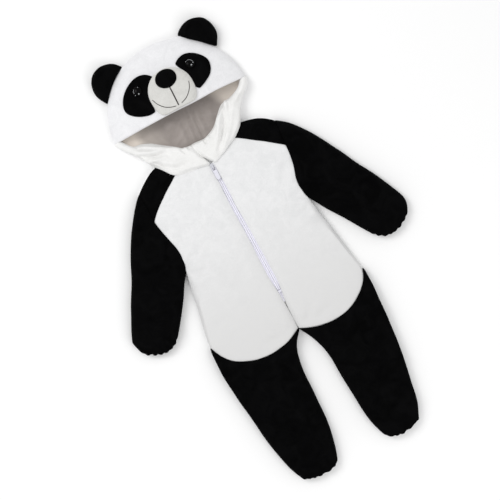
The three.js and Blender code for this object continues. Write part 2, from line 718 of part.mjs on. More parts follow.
function coil() {
  const { halfWidth, height } = COIL;
  const section = new THREE.Shape();
  section.moveTo(-halfWidth, 0);
  section.lineTo(halfWidth, 0);
  section.lineTo(halfWidth, height * 0.5);
  section.lineTo(halfWidth * 0.6, height);
  section.lineTo(-halfWidth * 0.6, height);
  section.lineTo(-halfWidth, height * 0.5);
  section.closePath();
  const length = ZIP_LENGTH - 12;
  const geometry = new THREE.ExtrudeGeometry(section, { depth: length, bevelEnabled: false });
  return geometry.rotateX(Math.PI / 2).translate(0, -4, TAPE.base + TAPE.wall + SEAM_GAP);
}

// The slider: a shield-shaped plate with an arched bridge that carries the pull.
const SLIDER_BASE = COIL_TOP + SEAM_GAP;
const BRIDGE_MIDDLE = -10;

function sliderPlate() {
  const { halfWidth, length, plate } = SLIDER;
  const outline = new THREE.Shape();
  outline.moveTo(-halfWidth, 0);
  outline.lineTo(-halfWidth, -length * 0.4);
  outline.quadraticCurveTo(-halfWidth, -length * 0.75, -halfWidth * 0.6, -length);
  outline.lineTo(halfWidth * 0.6, -length);
  outline.quadraticCurveTo(halfWidth, -length * 0.75, halfWidth, -length * 0.4);
  outline.lineTo(halfWidth, 0);
  outline.quadraticCurveTo(0, 1.6, -halfWidth, 0);
  return new THREE.ExtrudeGeometry(outline, { depth: plate, bevelEnabled: false, curveSegments: 5 })
    .translate(0, -3.5, SLIDER_BASE);
}

// The bridge's side view, drawn along the zip: an arch with straight feet.
function sliderBridge() {
  const { length, height, wall, halfWidth } = BRIDGE;
  const arch = (inset) => [
    [-length / 2 + inset, 0],
    [-length / 2 + inset, (height - inset) * 0.6],
    [-length / 2 + inset + 1.6, height - inset],
    [length / 2 - inset - 1.6, height - inset],
    [length / 2 - inset, (height - inset) * 0.6],
    [length / 2 - inset, 0],
  ];
  const outline = [...arch(0), ...reversed(arch(wall))].map(([y, z]) => new THREE.Vector2(y, z));
  return new THREE.ExtrudeGeometry(new THREE.Shape(outline), { depth: 2 * halfWidth, bevelEnabled: false })
    .applyMatrix4(new THREE.Matrix4().makeBasis(
      new THREE.Vector3(0, 1, 0),
      new THREE.Vector3(0, 0, 1),
      new THREE.Vector3(1, 0, 0),
    ))
    .translate(-halfWidth, BRIDGE_MIDDLE, SLIDER_BASE + SLIDER.plate);
}

// The pull: a flat tab whose eye is threaded on the bridge by a round bar, drawn about that bar.
function pullFrame() {
  const { halfWidth, length, plate, eyeLength, rim } = PULL;
  const outline = new THREE.Shape();
  outline.moveTo(-halfWidth, 0);
  outline.lineTo(-halfWidth, -length + halfWidth);
  outline.absarc(0, -length + halfWidth, halfWidth, Math.PI, 2 * Math.PI, false);
  outline.lineTo(halfWidth, 0);
  outline.lineTo(halfWidth - rim, 0);
  outline.lineTo(halfWidth - rim, -eyeLength);
  outline.lineTo(-halfWidth + rim, -eyeLength);
  outline.lineTo(-halfWidth + rim, 0);
  outline.closePath();
  return new THREE.ExtrudeGeometry(outline, { depth: plate, bevelEnabled: false, curveSegments: 8 })
    .translate(0, 0, -plate / 2);
}

function pullBar() {
  const { halfWidth, bar } = PULL;
  return new THREE.CylinderGeometry(bar, bar, 2 * halfWidth, 10).rotateZ(Math.PI / 2);
}

const wasm = await Module();
wasm.setup();

function solidOf(geometry) {
  geometry.deleteAttribute("normal");
  geometry.deleteAttribute("uv");
  const merged = mergeVertices(geometry, 1e-4);
  return new wasm.Manifold(
    new wasm.Mesh({
      numProp: 3,
      vertProperties: merged.attributes.position.array,
      triVerts: new Uint32Array(merged.index.array),
    }),
  );
}

function joinedSolid(first, second) {
  const { vertProperties, triVerts } = solidOf(first).add(solidOf(second)).getMesh();
  const geometry = new THREE.BufferGeometry();
  geometry.setAttribute("position", new THREE.BufferAttribute(vertProperties, 3));
  geometry.setIndex(new THREE.BufferAttribute(triVerts, 1));
  geometry.computeVertexNormals();
  return geometry;
}

function zipParts() {
  place("zip_tape_left", tape(1), "zip_tape", zip);
  place("zip_tape_right", tape(-1), "zip_tape", zip);
  place("zip_coil", coil(), "zip_plastic", zip);
  place("zip_slider", joinedSolid(sliderPlate(), sliderBridge()), "slider_metal", zip);
  const stopHeight = 3.4;
  const stop = box(7, 4, stopHeight, 0, -ZIP_LENGTH + 3, TAPE.base + TAPE.wall + SEAM_GAP + stopHeight / 2);
  place("zip_stop", stop, "zip_plastic", zip);
  const pull = place("zip_pull", joinedSolid(pullFrame(), pullBar()), "zip_plastic", zip);
  pull.position.set(0, BRIDGE_MIDDLE - 1.6, SLIDER_BASE + SLIDER.plate + SEAM_GAP + PULL.plate / 2);
}

// ---- The whole garment ---------------------------------------------------------------------

place("back", backPanel(), "white_plush");
place("hood_back", hoodBack(), "white_plush");
place("hood_lining", hoodLining(), "grey_lining");
place("hood_face", hoodFace(), "white_plush");
place("muzzle", muzzle(), "muzzle_plush");
place("nose", nose(), "black_plush");
["left", "right"].forEach((side) => {
  place(`front_${side}`, frontPanel(side), "white_plush");
  place(`yoke_${side}`, yoke(side), "black_plush");
  place(`sleeve_${side}`, sleeve(side), "black_plush");
  place(`leg_${side}`, leg(side), "black_plush");
  place(`collar_${side}`, collar(side), "white_plush");
  place(`ear_${side}`, ear(side), "black_plush");
  place(`eye_patch_${side}`, eyePatch(side), "black_plush");
  eye(side);
});
garment.add(zip);
zipParts();

// The origin is the middle of the garment's footprint, on the surface it lies on.
garment.updateMatrixWorld(true);
const footprint = new THREE.Box3().setFromObject(garment, true);
const middle = footprint.getCenter(new THREE.Vector3());
garment.position.set(-middle.x, -middle.y, -footprint.min.z);

export default garment;
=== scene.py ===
# %% [markdown]
# # A padded panda romper, laid flat
# A toddler's hooded romper lies on its back on a pale table, zipped up. It is sewn from short
# pile plush with wadding behind it, so its panels are thick, soft and slightly uneven.
# The frame holds every panel at its real place and size. This lesson gives each one its
# rounded form, its creases, its pile and its sewing.

# %% Load the frame
import math

import bmesh
import bpy
import numpy as np
from mathutils import Matrix, Vector, noise
from mathutils.bvhtree import BVHTree


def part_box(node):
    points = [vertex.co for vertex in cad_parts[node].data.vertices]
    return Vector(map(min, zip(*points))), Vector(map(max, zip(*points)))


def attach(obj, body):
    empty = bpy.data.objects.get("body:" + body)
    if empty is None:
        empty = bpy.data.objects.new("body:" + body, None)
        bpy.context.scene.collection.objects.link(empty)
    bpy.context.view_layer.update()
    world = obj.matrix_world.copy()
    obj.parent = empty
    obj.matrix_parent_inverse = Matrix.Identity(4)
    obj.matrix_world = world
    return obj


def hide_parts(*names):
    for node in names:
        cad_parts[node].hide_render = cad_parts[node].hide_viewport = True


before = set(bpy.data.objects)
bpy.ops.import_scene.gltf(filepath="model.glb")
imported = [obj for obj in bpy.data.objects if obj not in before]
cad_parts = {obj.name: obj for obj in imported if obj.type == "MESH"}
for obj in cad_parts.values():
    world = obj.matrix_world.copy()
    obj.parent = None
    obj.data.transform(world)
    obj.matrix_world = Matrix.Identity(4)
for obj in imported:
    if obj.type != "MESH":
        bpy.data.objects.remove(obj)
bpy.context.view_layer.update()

MM = 0.001

# %% [markdown]
# ## Places on the garment
# A sewer measures a garment from a fixed mark. Here the mark is the top of the zip, with x
# towards the wearer's left and y towards the hood, both in millimetres. The zip's coil is in
# the frame, so the mark is worked out from its box.

# %% The sewer's mark
COIL_START = 4.0  # from the mark down to the coil's first tooth
COIL_LEAN_X = 4.46  # how far the coil's middle lies to the left of the mark

coil_low, coil_high = (Vector(corner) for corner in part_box("zip_coil"))
MARK = Vector((
    (coil_low.x + coil_high.x) / 2 - COIL_LEAN_X * MM,
    coil_high.y + COIL_START * MM,
    0,
))


def at(x, y, z=0.0):
    """A place on the garment, from millimetres to the frame's metres."""
    return MARK + Vector((x, y, z)) * MM


print("mark at", [round(v, 4) for v in MARK])

# %% [markdown]
# ## Pile
# Plush is a knit with a short cut pile. From a step away its threads can't be told apart:
# what shows is a fine grain, and soft clouds where the pile has been brushed over. One node
# group makes both from noise in object space, and every plush on the garment uses it with
# its own sizes. It gives a shade to tint the colour with, and a height for the bump.

# %% Shader groups
def new_group(name, inputs, outputs):
    group = bpy.data.node_groups.new(name, "ShaderNodeTree")
    for socket, value in inputs.items():
        made = group.interface.new_socket(socket, in_out="INPUT", socket_type="NodeSocketFloat")
        made.default_value = value
    for socket in outputs:
        group.interface.new_socket(socket, in_out="OUTPUT", socket_type="NodeSocketFloat")
    return group, group.nodes.new("NodeGroupInput"), group.nodes.new("NodeGroupOutput")


def node_in(tree, kind, sockets, **settings):
    """A new node with its settings, and with its inputs linked to others or given a value."""
    node = tree.nodes.new(kind)
    for key, value in settings.items():
        setattr(node, key, value)
    for socket, value in sockets.items():
        if isinstance(value, bpy.types.NodeSocket):
            tree.links.new(value, node.inputs[socket])
        else:
            node.inputs[socket].default_value = value
    return node


def maths(tree, operation, first, second):
    return node_in(tree, "ShaderNodeMath", {0: first, 1: second}, operation=operation).outputs[0]


def pile_group():
    sizes = {"Tufts per metre": 700.0, "Clouds per metre": 45.0, "Cloud share": 0.4}
    group, given, result = new_group("short_pile", sizes, ["Shade", "Height"])
    place = group.nodes.new("ShaderNodeTexCoord").outputs["Object"]
    tufts = node_in(group, "ShaderNodeTexNoise", {
        "Vector": place, "Scale": given.outputs["Tufts per metre"], "Detail": 3.0, "Distortion": 0.6})
    clouds = node_in(group, "ShaderNodeTexNoise", {
        "Vector": place, "Scale": given.outputs["Clouds per metre"], "Detail": 4.0, "Distortion": 1.2})
    share = given.outputs["Cloud share"]
    cloudy = maths(group, "MULTIPLY", clouds.outputs["Fac"], share)
    grain = maths(group, "MULTIPLY", tufts.outputs["Fac"], maths(group, "SUBTRACT", 1.0, share))
    height = maths(group, "ADD", cloudy, grain)
    group.links.new(height, result.inputs["Height"])
    group.links.new(height, result.inputs["Shade"])
    return group


WAVE_RADIANS = 20.0  # what a wave texture turns through in a metre, at a scale of 1


def weave_group():
    """A plain weave: threads over and under each other, for the zip's tape."""
    sizes = {"Radians per metre": 2200.0}
    group, given, result = new_group("plain_weave", sizes, ["Shade", "Height"])
    place = group.nodes.new("ShaderNodeTexCoord").outputs["Object"]
    scale = maths(group, "DIVIDE", given.outputs["Radians per metre"], WAVE_RADIANS)
    sockets = {"Vector": place, "Scale": scale}
    waves = [
        node_in(group, "ShaderNodeTexWave", sockets, bands_direction=direction).outputs["Fac"]
        for direction in ("X", "Y")
    ]
    height = maths(group, "MAXIMUM", *waves)
    group.links.new(height, result.inputs["Height"])
    group.links.new(height, result.inputs["Shade"])
    return group


PILE = pile_group()
WEAVE = weave_group()

# %% [markdown]
# ## Finishes
# Each finish starts from the same recipe: a dark and a light tone, mixed by the group's
# shade, and the group's height in a bump. Sheen gives plush its pale edge, because pile that
# is seen from the side catches more light. The black plush is close to true black, so its
# sheen stays faint. A piece's points can also carry how far they are painted towards a second
# tone, which is painted light and shade.

# %% Materials
CONTRAST = (0.35, 0.65)  # the shades at which the dark and the light tone are full
SHEEN_ROUGHNESS = 0.6


def mix_shading_paint(tree, colour, painted_shading):
    """Mixes a colour towards a second tone, by the amount of painted light and shade that the piece's
    own points carry.
    """
    amount = node_in(tree, "ShaderNodeAttribute", {}, attribute_name="painted_shading").outputs["Fac"]
    sockets = {0: amount, 6: colour, 7: (*painted_shading, 1)}
    return node_in(tree, "ShaderNodeMix", sockets, data_type="RGBA").outputs[2]


def finish(dark, light, group, values=None, roughness=0.95, specular=0.2, sheen=0.0,
           metallic=0.0, bump=0.4, depth=1.0 * MM, painted_shading=None):
    material = bpy.data.materials.new("finish")
    material.use_nodes = True
    tree = material.node_tree
    shader = tree.nodes["Principled BSDF"]
    surface = node_in(tree, "ShaderNodeGroup", values or {}, node_tree=group)
    ramp = tree.nodes.new("ShaderNodeValToRGB")
    for stop, position, tone in zip(ramp.color_ramp.elements, CONTRAST, (dark, light)):
        stop.position = position
        stop.color = (*tone, 1)
    tree.links.new(surface.outputs["Shade"], ramp.inputs["Fac"])
    colour = ramp.outputs["Color"]
    if painted_shading:
        colour = mix_shading_paint(tree, colour, painted_shading)
    tree.links.new(colour, shader.inputs["Base Color"])
    relief = node_in(tree, "ShaderNodeBump", {
        "Strength": bump, "Distance": depth, "Height": surface.outputs["Height"]})
    tree.links.new(relief.outputs["Normal"], shader.inputs["Normal"])
    shader.inputs["Roughness"].default_value = roughness
    shader.inputs["Specular IOR Level"].default_value = specular
    shader.inputs["Sheen Weight"].default_value = sheen
    shader.inputs["Sheen Roughness"].default_value = SHEEN_ROUGHNESS
    shader.inputs["Metallic"].default_value = metallic
    return material


FINISHES = {
    # The body's second tone is painted shade, darker towards the crotch.
    "white_plush": finish(
        (0.70, 0.705, 0.71), (0.81, 0.81, 0.815), PILE, sheen=0.2, bump=0.5,
        painted_shading=(0.665, 0.663, 0.66)),
    "collar_plush": finish(
        (0.76, 0.757, 0.745), (0.85, 0.847, 0.838), PILE, sheen=0.2, bump=0.45),
    "hood_plush": finish(
        (0.71, 0.71, 0.725), (0.82, 0.82, 0.835), PILE, sheen=0.2, bump=0.45),
    "black_plush": finish(
        (0.0010, 0.0010, 0.0011), (0.0030, 0.0030, 0.0032), PILE,
        {"Clouds per metre": 30.0, "Cloud share": 0.6}, specular=0.02, sheen=0.002, bump=0.6),
    # The lining is pale plush, but both its tones are dark: painted shade, for the shade inside the
    # hood. The pale tone it moves to at the mouth's corners is painted light.
    "grey_lining": finish(
        (0.265, 0.235, 0.218), (0.345, 0.308, 0.288), PILE,
        {"Tufts per metre": 1400.0, "Clouds per metre": 25.0, "Cloud share": 0.7},
        roughness=0.9, sheen=0.1, bump=0.2, painted_shading=(0.74, 0.67, 0.60)),
    "muzzle_plush": finish(
        (0.56, 0.555, 0.53), (0.68, 0.675, 0.65), PILE, sheen=0.15, bump=0.45),
    "nose_plush": finish(
        (0.0010, 0.0010, 0.0011), (0.0035, 0.0035, 0.0037), PILE,
        {"Tufts per metre": 1100.0}, specular=0.03, sheen=0.002, bump=0.4),
    "eye_plastic": finish(
        (0.001, 0.001, 0.001), (0.002, 0.002, 0.002), PILE,
        roughness=0.2, specular=0.05, bump=0.01),
    "eye_glint": finish(
        (0.30, 0.31, 0.32), (0.42, 0.43, 0.44), PILE, roughness=0.4, bump=0.02),
    "mouth_thread": finish(
        (0.030, 0.026, 0.024), (0.06, 0.053, 0.048), PILE, roughness=0.7, bump=0.1),
    "white_thread": finish(
        (0.68, 0.68, 0.69), (0.78, 0.78, 0.79), PILE, roughness=0.6, bump=0.1),
    "zip_tape": finish(
        (0.74, 0.73, 0.81), (0.82, 0.81, 0.89), WEAVE,
        roughness=0.8, bump=0.3, depth=0.2 * MM),
    "zip_plastic": finish(
        (0.86, 0.85, 0.95), (0.93, 0.92, 0.99), PILE,
        roughness=0.38, specular=0.4, bump=0.03),
    "pull_enamel": finish(
        (0.68, 0.675, 0.75), (0.76, 0.755, 0.83), PILE,
        roughness=0.4, specular=0.4, bump=0.03),
    "slider_metal": finish(
        (0.58, 0.585, 0.63), (0.68, 0.685, 0.73), PILE,
        roughness=0.42, metallic=0.3, bump=0.05),
}
for name, material in FINISHES.items():
    material.name = name
print(len(FINISHES), "finishes")

# %% [markdown]
# ## From a frame piece to soft cloth
# The frame's panels have few, flat faces. A panel of padded plush is round everywhere, even
# at its seams. A copy of the frame's mesh has its corners merged and its triangle pairs
# joined back to quads, and a subdivision surface then rounds it. Subdivision alone would
# draw every free edge in by several millimetres and open the seams, so edges where the form
# turns get a crease weight: the outline stays on its seam line, with a small radius.

# %% The soft copy
TURN = math.radians(38)  # faces that meet at more than this are at an edge of the panel
HOLD = 0.5  # crease weight there: sharp for two subdivisions, round from the third on
TABLE_GAP = 0.0002  # metres; cloth never comes nearer to the table


def added(name, data):
    """A new object in the scene, for a mesh, a lamp or a camera."""
    thing = bpy.data.objects.new(name, data)
    bpy.context.scene.collection.objects.link(thing)
    return thing


def from_shell(shell, name):
    """A new object from a bmesh, which isn't needed any more."""
    mesh = bpy.data.meshes.new(name)
    shell.to_mesh(mesh)
    shell.free()
    return added(name, mesh)


def soft_copy(node, levels):
    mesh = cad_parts[node].data.copy()
    shell = bmesh.new()
    shell.from_mesh(mesh)
    bmesh.ops.remove_doubles(shell, verts=shell.verts, dist=0.02 * MM)
    wide = math.pi
    bmesh.ops.join_triangles(
        shell, faces=shell.faces, angle_face_threshold=wide, angle_shape_threshold=wide)
    weight = shell.edges.layers.float.new("crease_edge")
    for edge in shell.edges:
        if len(edge.link_faces) == 2 and edge.calc_face_angle(0.0) > TURN:
            edge[weight] = HOLD
    shell.to_mesh(mesh)
    shell.free()
    draft = added(node + "_draft", mesh)
    rounding = draft.modifiers.new("rounding", "SUBSURF")
    rounding.levels = rounding.render_levels = levels
    return plain_mesh(draft, node + "_cloth")


def plain_mesh(draft, name):
    """The draft with its modifiers applied, as a plain mesh object at the origin."""
    evaluated = draft.evaluated_get(bpy.context.evaluated_depsgraph_get())
    mesh = bpy.data.meshes.new_from_object(evaluated)
    mesh.name = name
    piece = added(name, mesh)
    bpy.data.objects.remove(draft)
    return piece


def smooth(piece):
    piece.data.polygons.foreach_set("use_smooth", [True] * len(piece.data.polygons))
    piece.data.update()


def read_points(piece, what):
    """The places ("co") or normals ("normal") of all of a piece's points, a row for each."""
    values = np.empty(len(piece.data.vertices) * 3)
    piece.data.vertices.foreach_get(what, values)
    return values.reshape(-1, 3)


def reshape(piece, *effects):
    """Moves every point along its normal by the sum of the effects, in millimetres."""
    places = read_points(piece, "co")
    normals = read_points(piece, "normal")
    on_garment = (places - np.array(MARK)) / MM
    moves = sum(effect(on_garment, normals) for effect in effects)
    places = places + normals * moves[:, None] * MM
    places[:, 2] = np.maximum(places[:, 2], TABLE_GAP)
    piece.data.vertices.foreach_set("co", places.ravel())
    smooth(piece)
    return piece


# %% [markdown]
# ## Creases
# Padded plush creases where it bends: at the armpits, the crotch, the elbows and knees, and
# where elastic gathers an edge. Each crease is a row of a short table: where it starts and
# ends, how far it bows to one side, its width and its depth. It is a soft trough between
# two low ridges, deepest in its middle. A broad noise adds the uneven loft of wadding.

# %% Creases, loft and gathers
SEED_SHIFT = (7.31, 3.17, 1.93)  # moves each seed to another part of the noise
LINE_SAMPLES = 60
END_TAPER = 0.6  # the lower it is, the nearer to its ends a crease keeps its depth
CREASE_REACH = 5  # in widths; points further from a crease stay where they are
RIDGE_SHARE = 0.45  # a ridge's height, as a share of its crease's depth
RIDGE_PLACE = 1.9  # from the crease's middle, in widths
PRESS_REACH = 3  # the same for a pressed V
PLEAT_START = 6.0  # how far outside a gathered edge its pleats begin
PLEAT_DRIFT = 0.25  # how far a pleat strays from even spacing, as a share of it
PLEAT_RANGE = (0.6, 1.1)  # the least and the most of a pleat's reach or depth
PLEAT_BOW = 2.0
PLEAT_WIDTH = 3.2


def swell(amount):
    return lambda places, normals: np.full(len(places), float(amount))


def loft(amount, length, seed):
    """Uneven wadding: a broad noise, `length` millimetres from hump to hump."""
    def effect(places, normals):
        shift = Vector([seed * part for part in SEED_SHIFT])
        return np.array([
            noise.noise(Vector(place) / length + shift) * amount for place in places
        ])
    return effect


def crease_line(start, end, bow):
    start, end = np.array(start, float), np.array(end, float)
    along = np.linspace(0, 1, LINE_SAMPLES)[:, None]
    square = np.array([start[1] - end[1], end[0] - start[0]])
    square = square / (np.linalg.norm(square) + 1e-9)
    return start + (end - start) * along + square * bow * 4 * along * (1 - along)


def taper(nearest, count):
    """1 at the middle of a line of `count` samples, and falling to almost 0 at its ends."""
    return np.sin(np.pi * (nearest + 0.5) / count) ** END_TAPER


def creases(rows, upper_only=True):
    """Each row: start, end, bow, width, depth. A negative depth makes a ridge."""
    def effect(places, normals):
        total = np.zeros(len(places))
        for start, end, bow, width, depth in rows:
            line = crease_line(start, end, bow)
            beyond = np.maximum(line.min(axis=0) - places[:, :2], places[:, :2] - line.max(axis=0))
            near = np.flatnonzero(beyond.max(axis=1) < CREASE_REACH * width)
            gaps = np.linalg.norm(places[near, None, :2] - line[None], axis=2)
            nearest = gaps.argmin(axis=1)
            distance = gaps.min(axis=1)
            trough = np.exp(-((distance / width) ** 2))
            ridge = RIDGE_SHARE * np.exp(-((distance / width - RIDGE_PLACE) ** 2))
            total[near] -= depth * taper(nearest, len(line)) * (trough - ridge)
        facing = np.clip(normals[:, 2] * 2, 0, 1) if upper_only else 1.0
        return total * facing
    return effect


def plump(amount):
    """Fills out the edges only: the more a point faces sideways, the further it moves."""
    return lambda places, normals: amount * (1 - np.abs(normals[:, 2]))


def place_of(vertex):
    """Where a vertex is on the garment, in millimetres from the mark."""
    return (vertex.co - MARK) / MM


def nearest_on(line, place):
    """The number of the line's sample nearest to a place in plan, and how far away it is."""
    gaps = np.linalg.norm(np.array([place.x, place.y]) - line, axis=1)
    nearest = gaps.argmin()
    return nearest, gaps[nearest]


def part_lips(piece, side, line, reach, openings):
    """Draws a piece's edge back from a line in plan, or over it if the opening is negative.

    The side is 1 for the wearer's left and -1 for the right. The two openings are those at the
    line's start and end.
    """
    line = smooth_line(line, 1.0)
    along = np.gradient(line, axis=0)
    square = np.stack([-along[:, 1], along[:, 0]], axis=1)
    square = square / np.linalg.norm(along, axis=1)[:, None]
    start, end = openings
    for vertex in piece.data.vertices:
        nearest, gap = nearest_on(line, place_of(vertex))
        if gap < reach:
            opening = start + (end - start) * nearest / (len(line) - 1)
            push = square[nearest] * side * opening * (1 - gap / reach) * MM
            vertex.co += Vector((*push, 0))
    piece.data.update()


def press(piece, line, width, share, base):
    """Presses a V along a line in plan: heights over the base shrink by up to the share."""
    line = smooth_line(line, 1.0)
    for vertex in piece.data.vertices:
        place = place_of(vertex)
        nearest, gap = nearest_on(line, place)
        if place.z > base and gap < PRESS_REACH * width:
            deep = share * taper(nearest, len(line)) * math.exp(-gap / width)
            vertex.co.z -= (place.z - base) * deep * MM
    smooth(piece)


def nudge(piece, middle, reach, move):
    """Slides the points around a place in plan, most at its middle and none beyond its reach."""
    for vertex in piece.data.vertices:
        x, y, _ = place_of(vertex)
        gap = math.hypot(x - middle[0], y - middle[1]) / reach
        if gap < 1:
            vertex.co += Vector((*move, 0)) * (1 - gap * gap) ** 2 * MM
    piece.data.update()


def eased(value, low, high):
    """0 below low, 1 above high, and smooth between."""
    share = np.clip((value - low) / (high - low), 0, 1)
    return share * share * (3 - 2 * share)


def set_shading_paint(piece, amount):
    """Writes on each point how far it is painted towards a second tone, as painted light and shade,
    which `amount` gives from its x and y.
    """
    places = (read_points(piece, "co") - np.array(MARK)) / MM
    painted_shading = piece.data.attributes.new("painted_shading", "FLOAT", "POINT")
    painted_shading.data.foreach_set("value", amount(places[:, 0], places[:, 1]))


def gathers(start, end, count, reach, depth, seed):
    """Short pleats that run in from a gathered edge, uneven in length and spacing."""
    rng = np.random.default_rng(seed)
    start, end = np.array(start, float), np.array(end, float)
    inward = np.array([start[1] - end[1], end[0] - start[0]])
    inward = inward / np.linalg.norm(inward)
    rows = []
    for i in range(count):
        drift = rng.uniform(-PLEAT_DRIFT, PLEAT_DRIFT)
        foot = start + (end - start) * (i + 0.5 + drift) / count
        tip = foot + inward * reach * rng.uniform(*PLEAT_RANGE)
        bow = rng.uniform(-PLEAT_BOW, PLEAT_BOW)
        deep = depth * rng.uniform(*PLEAT_RANGE)
        rows.append((foot - inward * PLEAT_START, tip, bow, PLEAT_WIDTH, deep))
    return creases(rows, upper_only=False)


def finished(piece, material, body="garment", replaces=()):
    piece.data.materials.clear()
    piece.data.materials.append(FINISHES[material])
    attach(piece, body)
    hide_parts(*replaces)
    print(piece.name, len(piece.data.polygons), "faces")
    return piece


# %% [markdown]


# %% [markdown]
# ## Laying small things on cloth
# Appliqué, embroidery and glints follow the surface under them. A ray dropped from above
# finds that surface, and its normal tells which way is out, so a line drawn in plan on the
# garment can be laid on any finished piece.

# %% Finding the surface
def surface_of(*pieces):
    points, faces = [], []
    for piece in pieces:
        first = len(points)
        points += [vertex.co.copy() for vertex in piece.data.vertices]
        faces += [[first + index for index in face.vertices] for face in piece.data.polygons]
    return BVHTree.FromPolygons(points, faces)


ABOVE = 200.0  # a ray starts this far over the table
CURVE_STEPS = 16  # samples between two of a smooth line's points


def on_top(surface, x, y, lift=0.0):
    """The place above (x, y) on the surface, raised by lift along its normal, and that normal."""
    place, normal, _, _ = surface.ray_cast(at(x, y, ABOVE), Vector((0, 0, -1)))
    return place + normal * lift * MM, normal


def smooth_line(points, step):
    """Places every `step` millimetres on a smooth line through points in plan."""
    points = [np.array(point, float) for point in points]
    ends = [2 * points[0] - points[1], *points, 2 * points[-1] - points[-2]]
    fine = []
    for a, b, c, d in zip(ends, ends[1:], ends[2:], ends[3:]):
        for t in np.linspace(0, 1, CURVE_STEPS, endpoint=False):
            fine.append(0.5 * (2 * b + (c - a) * t + (2 * a - 5 * b + 4 * c - d) * t * t
                               + (3 * b - a - 3 * c + d) * t ** 3))
    fine.append(points[-1])
    fine = np.array(fine)
    run = np.concatenate([[0], np.cumsum(np.linalg.norm(np.diff(fine, axis=0), axis=1))])
    count = max(2, int(round(run[-1] / step)) + 1)
    stations = np.linspace(0, run[-1], count)
    return np.stack([np.interp(stations, run, fine[:, k]) for k in (0, 1)], axis=1)


# %% [markdown]
# ## Stitches
# A stitch is a short, fat thread, and a row has hundreds of them. Geometry Nodes set one
# thread on each point of a path. Along the path they make a line of topstitching; turned
# across it and set close together they make satin stitch, which is how a mouth is
# embroidered. Each path's points carry the surface's outward direction, so threads lie flat.

# %% The stitch tree
def stitch_tree():
    tree = bpy.data.node_groups.new("stitch_row", "GeometryNodeTree")
    face = tree.interface
    face.new_socket("Path", in_out="INPUT", socket_type="NodeSocketGeometry")
    sizes = {
        "Spacing": 3.0 * MM, "Length": 2.4 * MM, "Thickness": 0.8 * MM,
        "Turn": 0.0, "Wobble": 0.06,
    }
    for name, value in sizes.items():
        face.new_socket(name, in_out="INPUT", socket_type="NodeSocketFloat").default_value = value
    face.new_socket("Thread", in_out="INPUT", socket_type="NodeSocketMaterial")
    face.new_socket("Stitches", in_out="OUTPUT", socket_type="NodeSocketGeometry")
    given = tree.nodes.new("NodeGroupInput").outputs
    result = tree.nodes.new("NodeGroupOutput")

    line = node_in(tree, "GeometryNodeMeshToCurve", {"Mesh": given["Path"]})
    points = node_in(tree, "GeometryNodeCurveToPoints", {
        "Curve": line.outputs["Curve"], "Length": given["Spacing"]}, mode="LENGTH")
    outward = node_in(tree, "GeometryNodeInputNamedAttribute", {"Name": "outward"},
                      data_type="FLOAT_VECTOR")
    flat = node_in(tree, "FunctionNodeAlignRotationToVector", {
        "Vector": outward.outputs["Attribute"]}, axis="Z")
    along = node_in(tree, "FunctionNodeAlignRotationToVector", {
        "Rotation": flat.outputs["Rotation"], "Vector": points.outputs["Tangent"],
    }, axis="X", pivot_axis="Z")

    low, high = (
        node_in(tree, "ShaderNodeMath", {0: given["Turn"], 1: given["Wobble"]}, operation=kind)
        for kind in ("SUBTRACT", "ADD"))
    chance = node_in(tree, "FunctionNodeRandomValue", {
        "Seed": 7, 2: low.outputs[0], 3: high.outputs[0]}, data_type="FLOAT")
    turn = node_in(tree, "FunctionNodeAxisAngleToRotation", {
        "Axis": (0, 0, 1), "Angle": chance.outputs[1]})
    turned = node_in(tree, "FunctionNodeRotateRotation", {
        "Rotation": along.outputs["Rotation"], "Rotate By": turn.outputs["Rotation"],
    }, rotation_space="LOCAL")

    thread = node_in(tree, "GeometryNodeMeshUVSphere", {"Segments": 6, "Rings": 4, "Radius": 0.5})
    size = node_in(tree, "ShaderNodeCombineXYZ", {
        "X": given["Length"], "Y": given["Thickness"], "Z": given["Thickness"]})
    placed = node_in(tree, "GeometryNodeInstanceOnPoints", {
        "Points": points.outputs["Points"], "Instance": thread.outputs["Mesh"],
        "Rotation": turned.outputs["Rotation"], "Scale": size.outputs["Vector"]})
    real = node_in(tree, "GeometryNodeRealizeInstances", {"Geometry": placed.outputs["Instances"]})
    soft = node_in(tree, "GeometryNodeSetShadeSmooth", {"Geometry": real.outputs["Geometry"]})
    dyed = node_in(tree, "GeometryNodeSetMaterial", {
        "Geometry": soft.outputs["Geometry"], "Material": given["Thread"]})
    tree.links.new(dyed.outputs["Geometry"], result.inputs["Stitches"])
    return tree


STITCHES = stitch_tree()


def stitched(name, lines, surface, thread, lift, replaces=(), slot=None, **sizes):
    """Rows of thread along lines in plan, on a surface. The sizes are the tree's, in metres."""
    path = bmesh.new()
    outward = path.verts.layers.float_vector.new("outward")
    for line in lines:
        before = None
        for x, y in line:
            place, normal = on_top(surface, x, y, lift)
            vertex = path.verts.new(place)
            vertex[outward] = normal
            if before:
                path.edges.new((before, vertex))
            before = vertex
    draft = from_shell(path, name + "_path")
    row = draft.modifiers.new("stitches", "NODES")
    row.node_group = STITCHES
    items = STITCHES.interface.items_tree
    sockets = {item.name: item.identifier for item in items if item.in_out == "INPUT"}
    for socket, value in sizes.items():
        row[sockets[socket]] = value
    row[sockets["Thread"]] = FINISHES[thread]
    piece = plain_mesh(draft, name)
    return finished(piece, thread, replaces=replaces)


# %% [markdown]
# ## The body
# The body is a white back, two white fronts and two black yokes over the shoulders. Laid
# flat, the fronts lie on the back and turn down to it at the sides. Each gets its own
# creases, fanned from the armpit and from the crotch.

